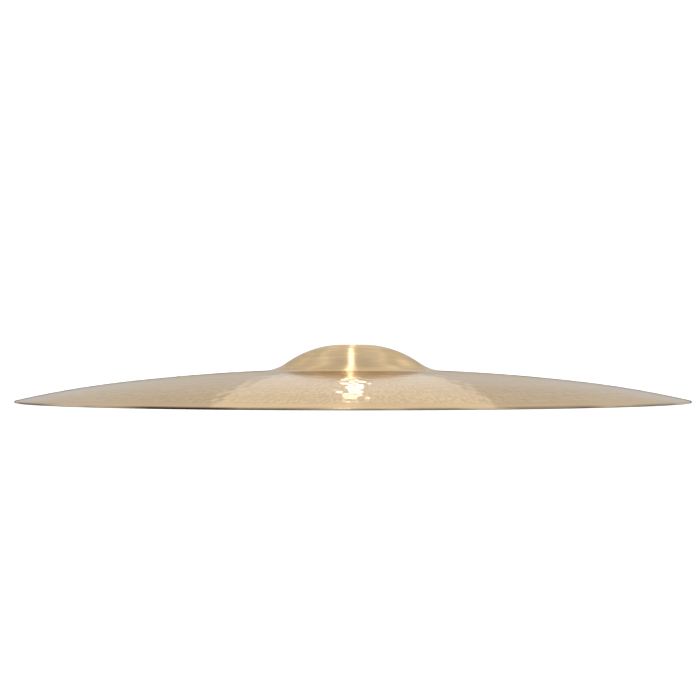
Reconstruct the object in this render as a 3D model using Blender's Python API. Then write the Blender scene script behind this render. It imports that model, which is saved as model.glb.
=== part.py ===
"""A crash cymbal: one disc of cast bronze, pressed and lathed to a bowed plate with a raised bell.

Units are metres, +Z is up. The origin is on the axis, in the plane that the rim rests on.
The upper surface is a chain of tangent arcs turned about the axis, from the hole outwards:
a flat seat, the bell's dome, the concave foot of the bell, the bow and the steeper shoulder.
The underside follows it one wall thickness below, and the wall thins evenly from hole to rim.
"""

import math

import bmesh
import bpy
from mathutils import Vector
from mathutils.geometry import intersect_sphere_sphere_2d

# Plan sizes
CYMBAL_DIAMETER = 0.4064  # 16 inches across the rim
HOLE_DIAMETER = 0.0127  # half an inch, passes the sleeve of a cymbal stand
SEAT_WIDTH = 0.00265  # flat land round the hole, where felt washers press

# Bell
BELL_RISE = 0.0146  # from the bow's crown, if it ran on to the axis, up to the seat
DOME_RADIUS = 0.0599
DOME_CENTRE_RADIUS = 0.0055  # the dome's arc is centred this far out from the axis
FOOT_RADIUS = 0.0259  # concave arc that blends the dome into the bow

# Bow
BOW_RADIUS = 1.2130
SHOULDER_START_RADIUS = 0.1390  # distance from the axis where the shoulder takes over
SHOULDER_RADIUS = 0.6000

# Wall and edges
BELL_THICKNESS = 0.00110
RIM_THICKNESS = 0.00085
RIM_LAND = 0.0004  # width of the flat ring at the bottom of the rim
EDGE_BREAK = 0.0002  # small chamfer on the rim and on both ends of the hole

# Worked out from the sizes above
RIM_RADIUS = CYMBAL_DIAMETER / 2
HOLE_RADIUS = HOLE_DIAMETER / 2
SEAT_RADIUS = HOLE_RADIUS + SEAT_WIDTH

# Facets
TURN_SEGMENTS = 72
DOME_STEPS = 8
FOOT_STEPS = 5
BOW_STEPS = 4
SHOULDER_STEPS = 4
SHARP_ANGLE = math.radians(30)

BRONZE_COLOUR = (0.66, 0.51, 0.31, 1.0)
BRONZE_ROUGHNESS = 0.32


def arc(centre, radius, start, end, steps, side):
    """Points (distance from axis, height, cosine of slope) on a circle's upper or lower side.

    side is 1 above the centre and -1 below it; start and end are distances from the axis.
    """
    first = math.asin((start - centre.x) / radius)
    last = math.asin((end - centre.x) / radius)
    points = []
    for step in range(steps + 1):
        angle = first + (last - first) * step / steps
        height = centre.y + side * radius * math.cos(angle)
        points.append((centre.x + radius * math.sin(angle), height, math.cos(angle)))
    return points


def toward(start, end, distance):
    """The point at a distance from start on the line to end."""
    return start + (end - start).normalized() * distance


def upper_outline():
    """The upper surface from the seat's edge to the rim, measured from the bow's crown."""
    bow_centre = Vector((0.0, -BOW_RADIUS))
    join_height = math.sqrt(BOW_RADIUS**2 - SHOULDER_START_RADIUS**2) - BOW_RADIUS
    join = Vector((SHOULDER_START_RADIUS, join_height))
    shoulder_centre = toward(join, bow_centre, SHOULDER_RADIUS)

    dome_drop = math.sqrt(DOME_RADIUS**2 - (SEAT_RADIUS - DOME_CENTRE_RADIUS) ** 2)
    dome_centre = Vector((DOME_CENTRE_RADIUS, BELL_RISE - dome_drop))
    foot_centre = max(
        intersect_sphere_sphere_2d(
            dome_centre, DOME_RADIUS + FOOT_RADIUS, bow_centre, BOW_RADIUS + FOOT_RADIUS
        ),
        key=lambda centre: centre.x,
    )
    foot_top = toward(foot_centre, dome_centre, FOOT_RADIUS)
    foot_bottom = toward(foot_centre, bow_centre, FOOT_RADIUS)

    dome = arc(dome_centre, DOME_RADIUS, SEAT_RADIUS, foot_top.x, DOME_STEPS, 1)
    foot = arc(foot_centre, FOOT_RADIUS, foot_top.x, foot_bottom.x, FOOT_STEPS, -1)
    bow = arc(bow_centre, BOW_RADIUS, foot_bottom.x, join.x, BOW_STEPS, 1)
    land_start = RIM_RADIUS - RIM_LAND
    shoulder = arc(shoulder_centre, SHOULDER_RADIUS, join.x, land_start, SHOULDER_STEPS, 1)
    edge = arc(shoulder_centre, SHOULDER_RADIUS, RIM_RADIUS - EDGE_BREAK, RIM_RADIUS, 1, 1)
    return dome + foot[1:] + bow[1:] + shoulder[1:] + edge


def wall_thickness(distance):
    """Thickness across the wall at a distance from the axis."""
    share = distance / RIM_RADIUS
    return BELL_THICKNESS + (RIM_THICKNESS - BELL_THICKNESS) * share


def section():
    """The closed section as (distance, height) pairs: out along the top, back along the bottom."""
    upper = upper_outline()
    seat = upper[0][1]
    rim_height = upper[-1][1]
    under = [(r, z - wall_thickness(r) / slope) for r, z, slope in upper[:-2]]
    under_seat = seat - wall_thickness(SEAT_RADIUS)
    under[0] = (SEAT_RADIUS, under_seat)
    floor = under[-1][1]

    top = [(HOLE_RADIUS, seat - EDGE_BREAK), (HOLE_RADIUS + EDGE_BREAK, seat)]
    top += [(r, z) for r, z, _ in upper[:-1]]
    top += [(RIM_RADIUS, rim_height - EDGE_BREAK)]
    bottom = [(RIM_RADIUS, floor)]
    bottom += reversed(under)
    bottom += [(HOLE_RADIUS + EDGE_BREAK, under_seat), (HOLE_RADIUS, under_seat + EDGE_BREAK)]
    return [(r, z - floor) for r, z in top + bottom]


def turned_mesh(name, outline):
    """A closed outline spun once round the Z axis."""
    bm = bmesh.new()
    corners = [bm.verts.new((r, 0.0, z)) for r, z in outline]
    edges = [bm.edges.new((a, b)) for a, b in zip(corners, corners[1:] + corners[:1])]
    bmesh.ops.spin(
        bm,
        geom=corners + edges,
        axis=(0.0, 0.0, 1.0),
        cent=(0.0, 0.0, 0.0),
        angle=math.tau,
        steps=TURN_SEGMENTS,
        use_merge=True,
    )
    bmesh.ops.recalc_face_normals(bm, faces=bm.faces)
    mesh = bpy.data.meshes.new(name)
    bm.to_mesh(mesh)
    bm.free()
    mesh.shade_smooth()
    mesh.set_sharp_from_angle(angle=SHARP_ANGLE)
    return mesh


def bronze():
    """Pale gold bell bronze with a lathed satin surface."""
    material = bpy.data.materials.new("bronze")
    material.use_nodes = True
    shader = material.node_tree.nodes["Principled BSDF"]
    shader.inputs["Base Color"].default_value = BRONZE_COLOUR
    shader.inputs["Metallic"].default_value = 1.0
    shader.inputs["Roughness"].default_value = BRONZE_ROUGHNESS
    material.diffuse_color = BRONZE_COLOUR
    return material


def cymbal():
    """The whole cymbal: bell, bow and rim are one piece of metal."""
    mesh = turned_mesh("cymbal", section())
    mesh.materials.append(bronze())
    piece = bpy.data.objects.new("cymbal", mesh)
    bpy.context.scene.collection.objects.link(piece)
    return piece


def main():
    for old in list(bpy.data.objects):
        bpy.data.objects.remove(old)
    cymbal()


main()
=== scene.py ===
"""The look of a crash cymbal: a lathed and hammered bronze skin that follows the solid's outline.

Lengths are metres and +Z is up. The front of the cymbal faces -Y, towards the camera.
"""

import math

import bpy
import numpy as np
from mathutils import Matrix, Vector

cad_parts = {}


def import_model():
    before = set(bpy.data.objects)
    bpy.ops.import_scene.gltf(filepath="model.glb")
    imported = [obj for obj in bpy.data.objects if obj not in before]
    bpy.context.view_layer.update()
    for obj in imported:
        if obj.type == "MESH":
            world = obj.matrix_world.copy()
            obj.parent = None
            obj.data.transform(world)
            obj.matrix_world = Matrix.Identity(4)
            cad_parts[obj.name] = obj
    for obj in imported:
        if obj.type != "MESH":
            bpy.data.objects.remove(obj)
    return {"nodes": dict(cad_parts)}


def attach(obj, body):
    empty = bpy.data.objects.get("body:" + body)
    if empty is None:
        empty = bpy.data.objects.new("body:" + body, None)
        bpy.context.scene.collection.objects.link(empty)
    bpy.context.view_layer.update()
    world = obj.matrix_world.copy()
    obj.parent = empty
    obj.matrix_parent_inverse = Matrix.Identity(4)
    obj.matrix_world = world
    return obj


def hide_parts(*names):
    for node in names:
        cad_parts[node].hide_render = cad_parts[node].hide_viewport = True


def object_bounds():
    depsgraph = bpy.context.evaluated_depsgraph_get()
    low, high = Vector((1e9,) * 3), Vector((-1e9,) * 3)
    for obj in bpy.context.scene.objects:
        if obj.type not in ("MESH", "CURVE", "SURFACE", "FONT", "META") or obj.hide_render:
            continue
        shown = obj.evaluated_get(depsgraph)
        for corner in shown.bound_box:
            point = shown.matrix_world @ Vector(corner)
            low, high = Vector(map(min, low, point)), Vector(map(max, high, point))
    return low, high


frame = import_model()
CAD_LOW, CAD_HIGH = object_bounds()
RIM_RADIUS = (CAD_HIGH.x - CAD_LOW.x) / 2
HEIGHT = CAD_HIGH.z - CAD_LOW.z

# Facets of the fine skin: (up to this distance from the axis, points round the ring, ring spacing)
TOP_ZONES = ((0.052, 192, 0.0012), (0.110, 384, 0.00135), (RIM_RADIUS, 768, 0.0015))
UNDER_ZONES = ((0.110, 192, 0.0030), (RIM_RADIUS, 384, 0.0026))
ROUND_STEPS = 3  # facets on the rounded edge of the rim
SHARP_ANGLE = math.radians(30)

# Hammering: rings of shallow dished marks from the foot of the bell to near the rim
FIRST_ROW = 0.062
LAST_ROW = 0.190
ROW_PITCH = 0.0082
MARK_PITCH = 0.0092
MARK_RADIUS = 0.0052
MARK_DEPTH = 0.00012
MARK_RADII = (0.85, 1.15)  # smallest and largest, as shares of MARK_RADIUS
MARK_DEPTHS = (0.45, 1.0)  # the same for depth
STRAY_ALONG = 0.16  # how far marks stray along their row, as a share of the pitch there
STRAY_OUT = 0.13 * ROW_PITCH  # and out of it
UNDER_SHARE = 0.6  # share of the marks' depth that shows through on the underside
HAMMERED_FROM = 0.056  # the bell inside this isn't hammered
PLAIN_RIM = 0.002  # width left plain at the rim
HAMMER_FADE = 0.010  # hammering sets in and dies out over this distance
UNEVEN_HEIGHT = 0.00008  # slow waves left by hammering
WAVE_COUNTS = (2, 3, 5, 7, 11)  # waves round the ring
WAVE_DRIFT = 0.03  # outwards over this distance, their phase turns by up to one radian

# Where the top surface changes, as distances from the axis: (nothing here, full effect here)
POLISH = (0.044, 0.058)
# Painted mottle of reflections off the hammer marks
PAINTED_MOTTLE_BEGIN = (0.058, 0.066)
PAINTED_MOTTLE_END = (0.197, 0.188)
# Painted shade in the crease at the foot of the bell
FOOT_SHADE_BEGIN = (0.050, 0.055)
FOOT_SHADE_END = (0.080, 0.058)
# Painted dark reflection at the foot of the bell
PAINTED_BELL_REFLECTION_BEGIN = (0.050, 0.054)
PAINTED_BELL_REFLECTION_END = (0.096, 0.066)

# How far lathe bands and the grooves in them stand out: (bands, grooves)
TOP_LATHING = (0.000020, 0.000010)
UNDER_LATHING = (0.00008, 0.000018)

# Painted dark reflection along the rim, in patches: (degrees round from -Y towards +X, half length
# in degrees, strength)
PAINTED_RIM_REFLECTIONS = (
    (-27, 13, 1.0),
    (-13, 12, 0.6),
    (-66, 12, 0.6),
    (-90, 16, 1.0),
    (12, 6, 0.30),
    (33, 12, 0.6),
    (59, 10, 0.6),
    (90, 16, 1.0),
    (122, 20, 0.5),
    (171, 28, 0.9),
    (228, 16, 0.7),
)
PAINTED_RIM_REFLECTION_COLOUR = (0.050, 0.024, 0.014, 1)
PAINTED_RIM_REFLECTION_WIDTH = 0.0035  # how far it reaches in from the rim
FULL_PART = 0.4  # share of a patch's length and width that has its full strength

# Painted dark reflection at the foot of the bell in front, a darker edge tint that shows at low
# angles only, given like the rim patches
PAINTED_BELL_REFLECTION = ((-24, 22, 1.0), (25, 23, 1.0))

# Camera
CAMERA_DISTANCE = 1.8
CAMERA_ELEVATION = math.radians(0.77)
CAMERA_LENS = 153.3
AIM_ABOVE = 0.0139  # how far over the middle of the cymbal the camera aims
AIM_BESIDE = -0.0018  # and how far towards +X
SENSOR_WIDTH = 36.0
CLIP = (0.05, 200.0)

# Floor
FLOOR_REACH = 1.1
FLOOR_GAP = 0.0002

# Lights overhead that run along Y:
# (name, place on X, half width, radiance, (start, end) on Y, how far below CEILING_HEIGHT)
CEILING_HEIGHT = 1.5
SLIT_DROP = 0.02  # the slits hang below the wide panels, which would hide them otherwise
CEILING_LIGHTS = (
    ("far_ceiling", 0.0, 0.39, 0.25, (2.0, 24.0), 0.0),
    ("near_ceiling", 0.0, 0.39, 0.05, (-1.0, 2.0), 0.0),
    ("far_slit", -0.001, 0.021, 1.9, (3.6, 24.0), SLIT_DROP),
    ("near_slit", -0.028, 0.024, 4.0, (-1.0, 2.1), SLIT_DROP),
    ("left_row", -0.46, 0.026, 0.8, (-1.0, 2.0), 0.0),
    ("right_row", 0.47, 0.028, 0.8, (-1.0, 2.0), 0.0),
)

# Soft light from above for the floor alone
SUN_ANGLE = math.radians(70)
SUN_STRENGTH = 1.7
SUN_TURN = (math.radians(20), math.radians(-25), 0)

# Room: brightness of the white sweep by the height of a direction, from 0 level to 1 overhead
SWEEP_STOPS = (
    (0.0, 0.04),
    (0.03, 0.20),
    (0.05, 0.56),
    (0.12, 0.66),
    (0.6, 0.80),
    (0.84, 0.83),
    (0.93, 0.58),
    (1.0, 0.40),
)
SWEEP_WARMTH = (1.0, 0.92, 0.79, 1)  # tint of the lowest part of its middle
ROOM_LEVEL = 0.25  # brightness low down beside the sweep and behind the camera
BACKDROP_LEVEL = 1.2  # brightness that the camera itself sees
# Where the room changes, as parts of a direction of length 1: (nothing here, full effect here)
DIM_BESIDE = (0.125, 0.22)
DIM_BEHIND = (0.1, -0.1)
DIM_BELOW = (0.30, 0.10)
WARM_BESIDE = (0.10, 0.05)
WARM_BELOW = (0.16, 0.05)

# Soft lights in the room: (degrees round from -Y towards +X, degrees up, half width in degrees)
SOFT_BOXES = (
    (40, 34, 17),
    (135, 30, 20),
    (225, 32, 15),
    (315, 22, 20),
    (90, 16, 12),
    (270, 14, 14),
)
SOFT_BOX_LEVEL = 0.75
SOFT_BOX_CORE = 0.7  # share of the half width that has full brightness

TOP, UNDER, EDGE = range(3)  # material slots of the skin


# ---------------------------------------------------------------- outline


def cad_outlines(node):
    """The solid's upper and lower outlines on the +X side, as {distance from axis: height}."""
    heights = {}
    for vertex in frame["nodes"][node].data.vertices:
        if abs(vertex.co.y) < 1e-6 and vertex.co.x > 0:
            heights.setdefault(round(vertex.co.x, 5), set()).add(round(vertex.co.z, 6))
    upper = {r: max(z) for r, z in sorted(heights.items())}
    lower = {r: min(z) for r, z in sorted(heights.items()) if len(z) > 1}
    return upper, lower


def circle_slope(a, b, c, at):
    """Slope dz/dr at a point of the circle through three points."""
    (ax, az), (bx, bz), (cx, cz) = a, b, c
    twice = 2 * ((bx - ax) * (cz - az) - (cx - ax) * (bz - az))
    if abs(twice) < 1e-12:
        return (cz - az) / (cx - ax)
    b2 = (bx - ax) ** 2 + (bz - az) ** 2
    c2 = (cx - ax) ** 2 + (cz - az) ** 2
    ux = ((cz - az) * b2 - (bz - az) * c2) / twice
    uz = ((bx - ax) * c2 - (cx - ax) * b2) / twice
    centre_x, centre_z = ax + ux, az + uz
    return -(at[0] - centre_x) / (at[1] - centre_z)


class Outline:
    """A smooth curve through points that lie on a chain of tangent arcs.

    Of the circles before, across and after a point, at least two belong to its own arcs and agree,
    so the middle one of the three slopes is the true one.
    """

    def __init__(self, points):
        self.r, self.z = np.array(points).T
        last = len(points) - 1
        self.slope = np.empty(len(points))
        for i, at in enumerate(points):
            starts = {min(max(s, 0), last - 2) for s in (i - 2, i - 1, i)}
            slopes = [circle_slope(*points[s : s + 3], at) for s in sorted(starts)]
            self.slope[i] = slopes[0] if len(slopes) < 3 and i < 2 else np.median(slopes)
            if len(slopes) < 3 and i > last - 2:
                self.slope[i] = slopes[-1]

    def __call__(self, r):
        i = np.clip(np.searchsorted(self.r, r) - 1, 0, len(self.r) - 2)
        span = self.r[i + 1] - self.r[i]
        t = (r - self.r[i]) / span
        rise = self.z[i] * (1 + 2 * t) * (1 - t) ** 2 + self.z[i + 1] * t * t * (3 - 2 * t)
        lean = self.slope[i] * t * (1 - t) ** 2 - self.slope[i + 1] * t * t * (1 - t)
        return rise + lean * span


def zone_radii(start, end, zones):
    """Ring distances from start to end with each zone's spacing, as (distance, points round)."""
    rings = []
    low = start
    for limit, count, spacing in zones:
        high = min(limit, end)
        if high <= low:
            continue
        steps = max(1, round((high - low) / spacing))
        rings += [(low + (high - low) * i / steps, count) for i in range(steps)]
        low = high
    return rings + [(end, rings[-1][1])]


def skin_rings(upper, lower):
    """Rings (distance, height, points round, kind) out along the top and back along the bottom."""
    hole, hole_break, seat = list(upper)[:3]
    land, rim_break, rim = list(upper)[-3:]
    top_curve = Outline([(r, z) for r, z in upper.items() if seat <= r <= rim_break])
    low_curve = Outline([(r, z) for r, z in lower.items() if seat <= r <= land])
    inner, outer = TOP_ZONES[0][1], TOP_ZONES[-1][1]

    rings = [(hole, upper[hole], inner, EDGE)]
    rings += [(r, upper[seat], n, TOP) for r, n in zone_radii(hole_break, seat, TOP_ZONES)[:-1]]
    rings += [(r, float(top_curve(r)), n, TOP) for r, n in zone_radii(seat, rim_break, TOP_ZONES)]
    for step in range(1, ROUND_STEPS + 1):
        angle = math.pi / 2 * step / ROUND_STEPS
        r = rim_break + (rim - rim_break) * math.sin(angle)
        z = upper[rim] + (upper[rim_break] - upper[rim]) * math.cos(angle)
        rings.append((r, z, outer, EDGE))
    rings += [(rim, CAD_LOW.z, outer, EDGE), (land, lower[land], outer, EDGE)]
    under = zone_radii(seat, land, UNDER_ZONES)[:-1]
    rings += [(r, float(low_curve(r)), n, UNDER) for r, n in reversed(under)]
    rings += [(hole_break, lower[hole_break], inner, UNDER), (hole, lower[hole], inner, EDGE)]
    return rings


# ---------------------------------------------------------------- surface relief


def smooth_step(x):
    """A smooth rise from 0 at x = 0 to 1 at x = 1."""
    x = np.clip(x, 0, 1)
    return x * x * (3 - 2 * x)


def hammer_marks(r, angle, depth, seed):
    """Height of rings of dished marks at points given by distance from the axis and angle."""
    rng = np.random.default_rng(seed)
    height = np.zeros_like(r)
    row = FIRST_ROW
    while row < LAST_ROW:
        count = int(math.tau * row / MARK_PITCH)
        step = math.tau / count
        shift = rng.uniform()
        beside = rng.normal(0, STRAY_ALONG, count)
        out = rng.normal(0, STRAY_OUT, count)
        radius = MARK_RADIUS * rng.uniform(*MARK_RADII, count)
        deep = depth * rng.uniform(*MARK_DEPTHS, count)
        near = np.abs(r - row) < 2 * MARK_RADIUS
        place = angle[near] / step - shift
        for neighbour in (-1, 0, 1):
            number = np.round(place) + neighbour
            mark = (number % count).astype(int)
            across = (place - number - beside[mark]) * step * row
            along = r[near] - row - out[mark]
            inside = np.clip(1 - (across**2 + along**2) / radius[mark] ** 2, 0, None)
            height[near] -= deep[mark] * inside**2
        row += ROW_PITCH
    return height


def slow_waves(r, angle, seed):
    """The bow's slight unevenness: a few broad waves round the cymbal."""
    rng = np.random.default_rng(seed)
    height = np.zeros_like(r)
    for waves in WAVE_COUNTS:
        turn, drift = rng.uniform(0, math.tau), rng.uniform(0.5, 1.0)
        height += np.sin(waves * angle + turn + drift * r / WAVE_DRIFT) / waves
    return UNEVEN_HEIGHT * height


def relief(r, angle, kind):
    """How far each point of the skin is raised or sunk from the CAD surface."""
    inner = smooth_step((r - HAMMERED_FROM) / HAMMER_FADE)
    outer = smooth_step((RIM_RADIUS - PLAIN_RIM - r) / HAMMER_FADE)
    waves = slow_waves(r, angle, seed=9)
    top = hammer_marks(r, angle, MARK_DEPTH, seed=4) + waves
    under = hammer_marks(r, angle, UNDER_SHARE * MARK_DEPTH, seed=4) + waves
    return inner * outer * np.select([kind == TOP, kind == UNDER], [top, under], 0.0)


# ---------------------------------------------------------------- skin


def link_rings(n_a, n_b, start_a, start_b):
    """Faces between two rings of equal, doubled or halved count.

    Each face is (vertex indices, (ring 0 or 1, share of the way round) of each corner).
    """
    faces = []
    if n_a == n_b:
        for j in range(n_a):
            faces.append(((0, j), (1, j), (1, j + 1), (0, j + 1)))
    elif n_b == 2 * n_a:
        for j in range(n_a):
            faces.append(((0, j), (1, 2 * j), (1, 2 * j + 1)))
            faces.append(((0, j), (1, 2 * j + 1), (0, j + 1)))
            faces.append(((0, j + 1), (1, 2 * j + 1), (1, 2 * j + 2)))
    else:
        for j in range(n_b):
            faces.append(((0, 2 * j), (1, j), (0, 2 * j + 1)))
            faces.append(((0, 2 * j + 1), (1, j), (1, j + 1)))
            faces.append(((0, 2 * j + 1), (1, j + 1), (0, 2 * j + 2)))
    starts, counts = (start_a, start_b), (n_a, n_b)
    return [
        ([starts[s] + p % counts[s] for s, p in face], [(s, p / counts[s]) for s, p in face])
        for face in faces
    ]


def build_skin():
    """One closed mesh with a UV map that unrolls it: U runs round, V along the section."""
    rings = skin_rings(*cad_outlines("cymbal"))
    r = np.concatenate([np.full(n, d) for d, _, n, _ in rings])
    z = np.concatenate([np.full(n, h) for _, h, n, _ in rings])
    angle = np.concatenate([np.arange(n) * math.tau / n for _, _, n, _ in rings])
    kind = np.concatenate([np.full(n, k) for _, _, n, k in rings])
    z = z + relief(r, angle, kind)
    points = np.stack([r * np.cos(angle), r * np.sin(angle), z], 1)

    lengths = [
        math.hypot(b[0] - a[0], b[1] - a[1]) for a, b in zip(rings, rings[1:] + rings[:1])
    ]
    run = np.concatenate([[0.0], np.cumsum(lengths)]) / sum(lengths)
    starts = np.concatenate([[0], np.cumsum([ring[2] for ring in rings])])

    faces, places, slots = [], [], []
    for i, ring in enumerate(rings):
        following = rings[(i + 1) % len(rings)]
        begin_next = starts[i + 1] if i + 1 < len(rings) else 0
        slot = EDGE if EDGE in (ring[3], following[3]) else max(ring[3], following[3])
        for corners, spots in link_rings(ring[2], following[2], int(starts[i]), int(begin_next)):
            faces.append(corners)
            places += [(u, run[i + s]) for s, u in spots]
            slots.append(slot)

    mesh = bpy.data.meshes.new("bronze_disc")
    mesh.from_pydata(points.tolist(), [], faces)
    mesh.uv_layers.new(name="OFBake").data.foreach_set("uv", np.array(places, np.float32).ravel())
    mesh.polygons.foreach_set("material_index", slots)
    mesh.shade_smooth()
    mesh.set_sharp_from_angle(angle=SHARP_ANGLE)
    mesh.update()
    piece = bpy.data.objects.new("bronze_disc", mesh)
    bpy.context.scene.collection.objects.link(piece)
    return piece


# ---------------------------------------------------------------- materials


class Graph:
    """Short calls for making and joining the nodes of one material or world."""

    def __init__(self, owner):
        self.owner = owner
        owner.use_nodes = True
        self.tree = owner.node_tree
        self.shader = self.tree.nodes.get("Principled BSDF")

    def node(self, kind, **settings):
        made = self.tree.nodes.new("ShaderNode" + kind)
        for name, value in settings.items():
            setattr(made, name, value)
        return made

    def feed(self, socket, value):
        if isinstance(value, bpy.types.NodeSocket):
            self.tree.links.new(value, socket)
        else:
            socket.default_value = value

    def math(self, operation, a, b=0.0):
        made = self.node("Math", operation=operation)
        self.feed(made.inputs[0], a)
        self.feed(made.inputs[1], b)
        return made.outputs[0]

    def spread(self, value, low, high, to_low=0.0, to_high=1.0):
        """A smooth change from to_low, where value is low, to to_high, where it is high."""
        made = self.node("MapRange", interpolation_type="SMOOTHSTEP")
        for socket, number in zip(made.inputs[:5], (value, low, high, to_low, to_high)):
            self.feed(socket, number)
        return made.outputs[0]

    def blend(self, share, a, b):
        made = self.node("Mix", data_type="RGBA")
        self.feed(made.inputs["Factor"], share)
        self.feed(made.inputs["A"], a)
        self.feed(made.inputs["B"], b)
        return made.outputs["Result"]

    def noise(self, vector, scale=1.0, detail=2.0):
        made = self.node("TexNoise")
        self.feed(made.inputs["Vector"], vector)
        self.feed(made.inputs["Scale"], scale)
        self.feed(made.inputs["Detail"], detail)
        return made.outputs["Fac"]


class Turned(Graph):
    """A material whose patterns run round the Z axis, as a lathe leaves them."""

    def __init__(self, name):
        super().__init__(bpy.data.materials.new(name))
        coordinates = self.node("TexCoord").outputs["Object"]
        split = self.node("SeparateXYZ")
        self.feed(split.inputs[0], coordinates)
        flat = self.node("CombineXYZ")
        self.feed(flat.inputs[0], split.outputs[0])
        self.feed(flat.inputs[1], split.outputs[1])
        length = self.node("VectorMath", operation="LENGTH")
        self.feed(length.inputs[0], flat.outputs[0])
        self.distance = length.outputs["Value"]
        heading = self.node("VectorMath", operation="NORMALIZE")
        self.feed(heading.inputs[0], flat.outputs[0])
        self.heading = heading.outputs["Vector"]
        self.position = coordinates

    def rings(self, pitch, wander, detail=2.0):
        """Noise that changes every pitch metres outwards, and slowly round the ring."""
        split = self.node("SeparateXYZ")
        self.feed(split.inputs[0], self.heading)
        place = self.node("CombineXYZ")
        self.feed(place.inputs[0], self.math("MULTIPLY", split.outputs[0], wander))
        self.feed(place.inputs[1], self.math("MULTIPLY", split.outputs[1], wander))
        self.feed(place.inputs[2], self.math("DIVIDE", self.distance, pitch))
        return self.noise(place.outputs[0], detail=detail)

    def zone(self, begin, end):
        """1 between two changes that take place over distances from the axis, and 0 elsewhere."""
        begun = self.spread(self.distance, *begin)
        return self.math("MULTIPLY", begun, self.spread(self.distance, *end))

    def patches(self, places):
        """How well patches (degrees round, half length in degrees, strength) cover each heading."""
        share = 0.0
        for turn, reach, strength in places:
            angle = math.radians(turn)
            towards = self.node("VectorMath", operation="DOT_PRODUCT")
            self.feed(towards.inputs[0], self.heading)
            towards.inputs[1].default_value = (math.sin(angle), -math.cos(angle), 0)
            ends = math.cos(math.radians(reach)), math.cos(math.radians(FULL_PART * reach))
            patch = self.spread(towards.outputs["Value"], *ends, 0.0, strength)
            share = self.math("MAXIMUM", share, patch)
        return share

    def metal(self, anisotropy):
        """Grooves run round the axis, so reflections spread outwards from it."""
        tangent = self.node("Tangent", direction_type="RADIAL", axis="Z")
        self.feed(self.shader.inputs["Tangent"], tangent.outputs[0])
        self.shader.inputs["Metallic"].default_value = 1.0
        self.shader.inputs["Anisotropic"].default_value = anisotropy
        self.shader.inputs["Anisotropic Rotation"].default_value = 0.25

    def lathing(self, bands, grooves, heights):
        """Bump of bands and grooves that stand out by two heights in metres."""
        band_height = self.math("MULTIPLY", bands, heights[0])
        groove_height = self.math("MULTIPLY", grooves, heights[1])
        made = self.node("Bump")
        made.inputs["Distance"].default_value = 1.0
        self.feed(made.inputs["Height"], self.math("ADD", band_height, groove_height))
        self.feed(self.shader.inputs["Normal"], made.outputs[0])


def bronze_top():
    """Lathed and polished, with painted mottle where it is hammered, painted shade in the foot of
    the bell, and painted dark reflection at the bell's foot in front and along the rim.
    """
    m = Turned("bronze_lathed")
    m.metal(anisotropy=0.9)
    bands = m.rings(pitch=0.0038, wander=1.2)
    grooves = m.rings(pitch=0.0008, wander=3.0)
    cloud = m.noise(m.position, scale=14.0, detail=4.0)
    mottle_noise = m.rings(pitch=0.0055, wander=120.0, detail=0.0)

    light, deep = (0.74, 0.565, 0.35, 1), (0.61, 0.45, 0.255, 1)
    painted_mottle_colour, foot_shade_colour = (0.53, 0.385, 0.225, 1), (0.33, 0.25, 0.18, 1)
    top_rim_reflection_colour = (0.16, 0.085, 0.05, 1)
    tone = m.math("ADD", m.math("MULTIPLY", bands, 0.6), m.math("MULTIPLY", cloud, 0.4))
    colour = m.blend(m.spread(tone, 0.35, 0.65), deep, light)
    # Painted mottle: dark flecks stand in for the light and shade that the hammer marks reflect
    painted_mottle_share = m.math("MULTIPLY", m.spread(mottle_noise, 0.44, 0.59), m.zone(PAINTED_MOTTLE_BEGIN, PAINTED_MOTTLE_END))
    colour = m.blend(m.math("MULTIPLY", painted_mottle_share, 0.9), colour, painted_mottle_colour)
    # Painted shade: darker in the crease at the foot of the bell
    colour = m.blend(m.math("MULTIPLY", m.zone(FOOT_SHADE_BEGIN, FOOT_SHADE_END), 0.4), colour, foot_shade_colour)
    # Painted dark reflection in patches along the rim of the top surface
    at_rim = m.spread(m.distance, RIM_RADIUS - PAINTED_RIM_REFLECTION_WIDTH, RIM_RADIUS - FULL_PART * PAINTED_RIM_REFLECTION_WIDTH)
    colour = m.blend(m.math("MULTIPLY", m.patches(PAINTED_RIM_REFLECTIONS), at_rim), colour, top_rim_reflection_colour)
    m.feed(m.shader.inputs["Base Color"], colour)

    polished = m.spread(m.distance, *POLISH, 0.21, 0.075)
    roughness = m.math("ADD", polished, m.spread(grooves, 0.3, 0.7, 0.0, 0.025))
    m.feed(m.shader.inputs["Roughness"], roughness)
    # Painted dark reflection: the edge tint is darkened in patches at the front of the bell's foot
    bell_reflection_share = m.math("MULTIPLY", m.patches(PAINTED_BELL_REFLECTION), m.zone(PAINTED_BELL_REFLECTION_BEGIN, PAINTED_BELL_REFLECTION_END))
    edge_tint_with_painted_reflection = m.blend(bell_reflection_share, (0.94, 0.84, 0.70, 1), (0.68, 0.62, 0.56, 1))
    m.feed(m.shader.inputs["Specular Tint"], edge_tint_with_painted_reflection)

    m.lathing(bands, grooves, TOP_LATHING)
    return m.owner


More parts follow.
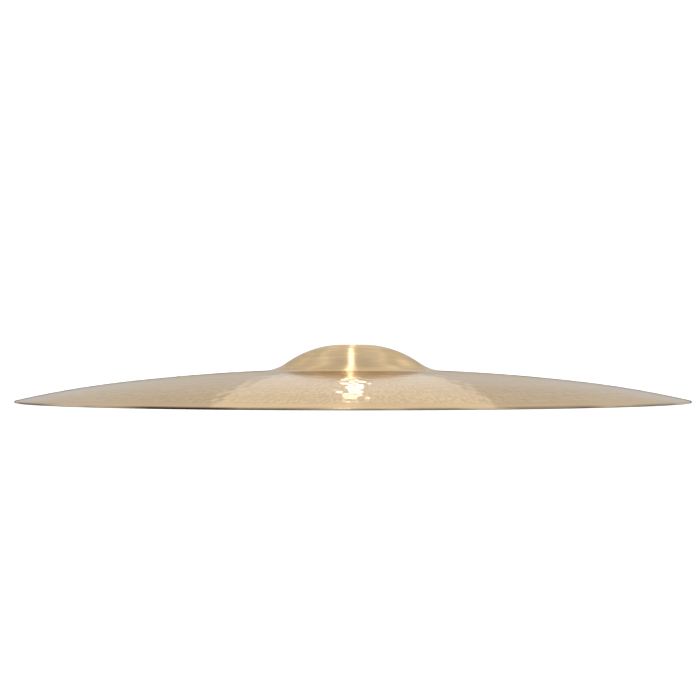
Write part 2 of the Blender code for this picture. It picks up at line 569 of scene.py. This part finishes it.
def bronze_under():
    """Lathed and left duller, with deeper rings."""
    m = Turned("bronze_underside")
    m.metal(anisotropy=0.85)
    bands = m.rings(pitch=0.0045, wander=1.0)
    grooves = m.rings(pitch=0.0012, wander=3.0)
    cloud = m.noise(m.position, scale=11.0, detail=5.0)
    deep, light = (0.52, 0.37, 0.21, 1), (0.64, 0.48, 0.29, 1)
    tone = m.math("ADD", m.math("MULTIPLY", bands, 0.5), m.math("MULTIPLY", cloud, 0.5))
    m.feed(m.shader.inputs["Base Color"], m.blend(m.spread(tone, 0.35, 0.65), deep, light))
    m.feed(m.shader.inputs["Roughness"], m.spread(grooves, 0.3, 0.7, 0.34, 0.44))
    m.shader.inputs["Specular Tint"].default_value = (0.85, 0.72, 0.55, 1)
    m.lathing(bands, grooves, UNDER_LATHING)
    return m.owner


def bronze_edge():
    """The rim's edge and the hole: unevenly bright metal, with dark matt patches of painted
    reflection.
    """
    m = Turned("bronze_edge")
    m.metal(anisotropy=0.6)
    dull, bright = (0.34, 0.27, 0.18, 1), (0.66, 0.52, 0.35, 1)
    patches = m.noise(m.heading, scale=3.0, detail=3.0)
    edge_metal_tone = m.blend(m.spread(patches, 0.4, 0.6), dull, bright)
    # Painted dark reflection in matt patches round the rim's edge
    edge_reflection_share = m.patches(PAINTED_RIM_REFLECTIONS)
    m.feed(m.shader.inputs["Base Color"], m.blend(edge_reflection_share, edge_metal_tone, PAINTED_RIM_REFLECTION_COLOUR))
    m.feed(m.shader.inputs["Metallic"], m.math("SUBTRACT", 1.0, edge_reflection_share))
    m.feed(m.shader.inputs["Specular IOR Level"], m.spread(edge_reflection_share, 0.3, 1.0, 0.5, 0.0))
    m.feed(m.shader.inputs["Roughness"], m.spread(edge_reflection_share, 0.0, 1.0, 0.35, 0.65))
    return m.owner


# ---------------------------------------------------------------- studio


def floor():
    height = CAD_LOW.z - FLOOR_GAP
    ways = ((-1, -1), (1, -1), (1, 1), (-1, 1))
    corners = [(x * FLOOR_REACH, y * FLOOR_REACH, height) for x, y in ways]
    mesh = bpy.data.meshes.new("floor")
    mesh.from_pydata(corners, [], [(0, 1, 2, 3)])
    plane = bpy.data.objects.new("floor", mesh)
    bpy.context.scene.collection.objects.link(plane)
    material = bpy.data.materials.new("pale_floor")
    material.use_nodes = True
    shader = material.node_tree.nodes["Principled BSDF"]
    shader.inputs["Base Color"].default_value = (0.90, 0.90, 0.90, 1)
    shader.inputs["Roughness"].default_value = 0.9
    shader.inputs["Specular IOR Level"].default_value = 0.0
    mesh.materials.append(material)


def ceiling(name, beside, half_width, radiance, reach, drop):
    """A panel that faces down and is hidden from the camera, given by its face's brightness."""
    start, end = reach
    data = bpy.data.lights.new(name, "AREA")
    data.shape = "RECTANGLE"
    data.size, data.size_y = 2 * half_width, end - start
    data.energy = radiance * math.pi * data.size * data.size_y
    lamp = bpy.data.objects.new(name, data)
    lamp.location = (beside, (start + end) / 2, CEILING_HEIGHT - drop)
    lamp.visible_camera = False
    bpy.context.scene.collection.objects.link(lamp)


def sun():
    data = bpy.data.lights.new("floor_light", "SUN")
    data.angle = SUN_ANGLE
    data.energy = SUN_STRENGTH
    lamp = bpy.data.objects.new("floor_light", data)
    lamp.rotation_euler = SUN_TURN
    lamp.visible_camera = False
    lamp.visible_glossy = False
    bpy.context.scene.collection.objects.link(lamp)


def sweep_light(g, x, y, z):
    """Light from the white sweep, warm low down, in a room that is dim at the horizon elsewhere."""
    ramp = g.node("ValToRGB")
    g.feed(ramp.inputs[0], z)
    elements = ramp.color_ramp.elements
    while len(elements) < len(SWEEP_STOPS):
        elements.new(0.5)
    for element, (place, value) in zip(elements, SWEEP_STOPS):
        element.position = place
        element.color = (value, value, value, 1)
    sideways = g.math("ABSOLUTE", x)
    outside = g.math("MAXIMUM", g.spread(sideways, *DIM_BESIDE), g.spread(y, *DIM_BEHIND))
    dim = g.math("MULTIPLY", outside, g.spread(z, *DIM_BELOW))
    warm = g.math("MULTIPLY", g.spread(sideways, *WARM_BESIDE), g.spread(z, *WARM_BELOW))
    tone = g.node("VectorMath", operation="MULTIPLY")
    g.feed(tone.inputs[0], ramp.outputs[0])
    g.feed(tone.inputs[1], g.blend(warm, (1, 1, 1, 1), SWEEP_WARMTH))
    return g.blend(dim, tone.outputs[0], (ROOM_LEVEL, ROOM_LEVEL, ROOM_LEVEL, 1))


def soft_box_light(g, direction):
    """Light from the soft boxes, which fades towards their edges."""
    total = 0.0
    for turn, height, reach in SOFT_BOXES:
        flat = math.cos(math.radians(height))
        east = math.sin(math.radians(turn)) * flat
        north = -math.cos(math.radians(turn)) * flat
        near = g.node("VectorMath", operation="DOT_PRODUCT")
        g.feed(near.inputs[0], direction)
        near.inputs[1].default_value = (east, north, math.sin(math.radians(height)))
        ends = math.cos(math.radians(reach)), math.cos(math.radians(SOFT_BOX_CORE * reach))
        total = g.math("ADD", total, g.spread(near.outputs["Value"], *ends))
    return g.math("MULTIPLY", total, SOFT_BOX_LEVEL)


def world():
    """The room that the bronze mirrors, and a plain white backdrop that the camera sees."""
    sky = bpy.data.worlds.new("studio")
    bpy.context.scene.world = sky
    g = Graph(sky)
    g.tree.nodes.clear()
    direction = g.node("TexCoord").outputs["Generated"]
    split = g.node("SeparateXYZ")
    g.feed(split.inputs[0], direction)
    lit = g.node("VectorMath", operation="ADD")
    g.feed(lit.inputs[0], sweep_light(g, *split.outputs))
    g.feed(lit.inputs[1], soft_box_light(g, direction))
    room = g.node("Background")
    g.feed(room.inputs[0], lit.outputs[0])
    backdrop = g.node("Background")
    backdrop.inputs[0].default_value = (1, 1, 1, 1)
    backdrop.inputs[1].default_value = BACKDROP_LEVEL
    mix = g.node("MixShader")
    g.feed(mix.inputs[0], g.node("LightPath").outputs["Is Camera Ray"])
    g.feed(mix.inputs[1], room.outputs[0])
    g.feed(mix.inputs[2], backdrop.outputs[0])
    g.feed(g.node("OutputWorld").inputs[0], mix.outputs[0])


def camera():
    data = bpy.data.cameras.new("camera")
    data.lens = CAMERA_LENS
    data.sensor_width = SENSOR_WIDTH
    data.clip_start, data.clip_end = CLIP
    view = bpy.data.objects.new("camera", data)
    middle = Vector((0, 0, CAD_LOW.z + HEIGHT / 2))
    back = Vector((0, -math.cos(CAMERA_ELEVATION), math.sin(CAMERA_ELEVATION)))
    view.location = middle + back * CAMERA_DISTANCE
    aim = middle + Vector((AIM_BESIDE, 0, AIM_ABOVE))
    view.rotation_euler = (aim - view.location).to_track_quat("-Z", "Y").to_euler()
    bpy.context.scene.collection.objects.link(view)
    bpy.context.scene.camera = view


def studio():
    floor()
    world()
    sun()
    for light in CEILING_LIGHTS:
        ceiling(*light)
    settings = bpy.context.scene.view_settings
    settings.view_transform = "Standard"
    settings.look = "None"


camera()
studio()
disc = build_skin()
for material in (bronze_top(), bronze_under(), bronze_edge()):
    disc.data.materials.append(material)
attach(disc, "root")
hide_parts("cymbal")
